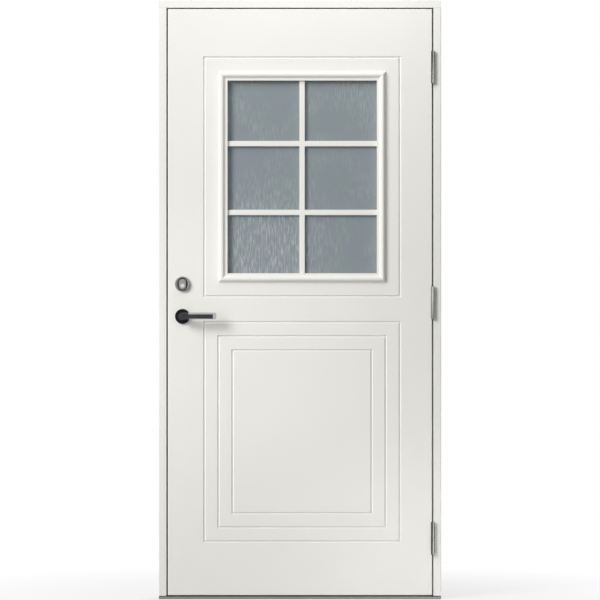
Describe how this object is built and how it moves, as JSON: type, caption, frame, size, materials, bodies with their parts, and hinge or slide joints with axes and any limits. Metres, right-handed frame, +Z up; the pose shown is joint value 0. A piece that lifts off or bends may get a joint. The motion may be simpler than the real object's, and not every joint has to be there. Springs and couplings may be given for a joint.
{
  "type": "exterior door",
  "caption": "Exterior door in its rebated frame: a panelled leaf with a barred window, lift-off hinges, a lever handle and a mortise lock.",
  "frame": {"origin": "middle of the sill's underside, at mid thickness of the leaf", "axes": "+X to the right seen from outside, +Y from outside to inside through the wall, +Z up"},
  "size_m": [0.98, 0.178, 2.08],
  "materials": {
    "white_paint": "satin white paint on milled board and timber",
    "bare_timber": "planed, unpainted",
    "foam": "rigid insulating foam",
    "patterned_glass": "obscured glass with a fine upright texture",
    "clear_glass": "clear float glass",
    "seal_rubber": "matt black",
    "satin_steel": "zinc plated satin steel",
    "bright_chrome": "polished chrome plate",
    "gloss_black": "glossy black",
    "sill_aluminium": "anodised grey",
    "spacer_aluminium": "mill finish"
  },
  "bodies": {
    "frame": {"head_jamb": "white_paint", "hinge_jamb": "white_paint", "lock_jamb": "white_paint", "sill_core": "bare_timber", "sill_cover": "sill_aluminium", "weather_seal": "seal_rubber", "strike_plate": "satin_steel", "fixing_sleeves": "satin_steel", "frame_fasteners": "satin_steel", "hinge_top_frame_half": "satin_steel", "hinge_middle_frame_half": "satin_steel", "hinge_bottom_frame_half": "satin_steel", "hinge_pins": "satin_steel", "hinge_washers": "satin_steel"},
    "leaf": {"outer_skin": "white_paint", "inner_skin": "white_paint", "lock_stile": "bare_timber", "hinge_stile": "bare_timber", "top_rail": "bare_timber", "mid_rail": "bare_timber", "bottom_rail": "bare_timber", "window_lining": "bare_timber", "insulation": "foam", "outer_bead_bottom": "white_paint", "outer_bead_left": "white_paint", "outer_bead_top": "white_paint", "outer_bead_right": "white_paint", "inner_bead_bottom": "white_paint", "inner_bead_left": "white_paint", "inner_bead_top": "white_paint", "inner_bead_right": "white_paint", "outer_muntin_grille": "white_paint", "inner_muntin_grille": "white_paint", "outer_pane": "patterned_glass", "middle_pane": "clear_glass", "inner_pane": "clear_glass", "pane_spacers": "spacer_aluminium", "glazing_tape": "seal_rubber", "setting_blocks": "seal_rubber", "lock_case": "satin_steel", "lock_faceplate": "satin_steel", "leaf_fasteners": "satin_steel", "outside_cylinder": "bright_chrome", "cylinder_ring": "bright_chrome", "turn_rosette": "gloss_black", "outside_rosette": "gloss_black", "inside_rosette": "gloss_black", "hinge_top_leaf_half": "satin_steel", "hinge_middle_leaf_half": "satin_steel", "hinge_bottom_leaf_half": "satin_steel"},
    "handle_set": {"outside_lever": "bright_chrome", "inside_lever": "bright_chrome", "lever_inlays": "gloss_black", "spindle": "satin_steel", "follower": "satin_steel"},
    "latch": {"latch_bolt": "bright_chrome"},
    "bolt": {"dead_bolt": "bright_chrome"},
    "thumb_turn": {"thumbturn": "bright_chrome", "lock_cam": "satin_steel"},
    "plug": {"key_plug": "satin_steel"}
  },
  "joints": [
    {"name": "door_swing", "type": "hinge", "parent": "frame", "child": "leaf", "pos_m": [0.46125, -0.039, 0], "axis": [0, 0, 1], "range_deg": [0, 170]},
    {"name": "handle_turn", "type": "hinge", "parent": "leaf", "child": "handle_set", "pos_m": [-0.408, 0, 0.982], "axis": [0, 1, 0], "range_deg": [0, 45], "stiffness_Nm_per_rad": 1.5, "springref_deg": -28.65},
    {"name": "latch_slide", "type": "slide", "parent": "leaf", "child": "latch", "axis": [-1, 0, 0], "range_m": [0, 0.012]},
    {"name": "thumb_turn_rotate", "type": "hinge", "parent": "leaf", "child": "thumb_turn", "pos_m": [-0.408, 0, 1.089], "axis": [0, -1, 0], "range_deg": [0, 90]},
    {"name": "bolt_slide", "type": "slide", "parent": "leaf", "child": "bolt", "axis": [-1, 0, 0], "range_m": [0, 0.02]},
    {"name": "key_plug_turn", "type": "hinge", "parent": "leaf", "child": "plug", "pos_m": [-0.408, 0, 1.089], "axis": [0, 1, 0], "range_deg": [-90, 90]}
  ],
  "couplings": [
    {"joint": "thumb_turn_rotate", "follows": "bolt_slide", "rad_per_m": 78.5}
  ]
}
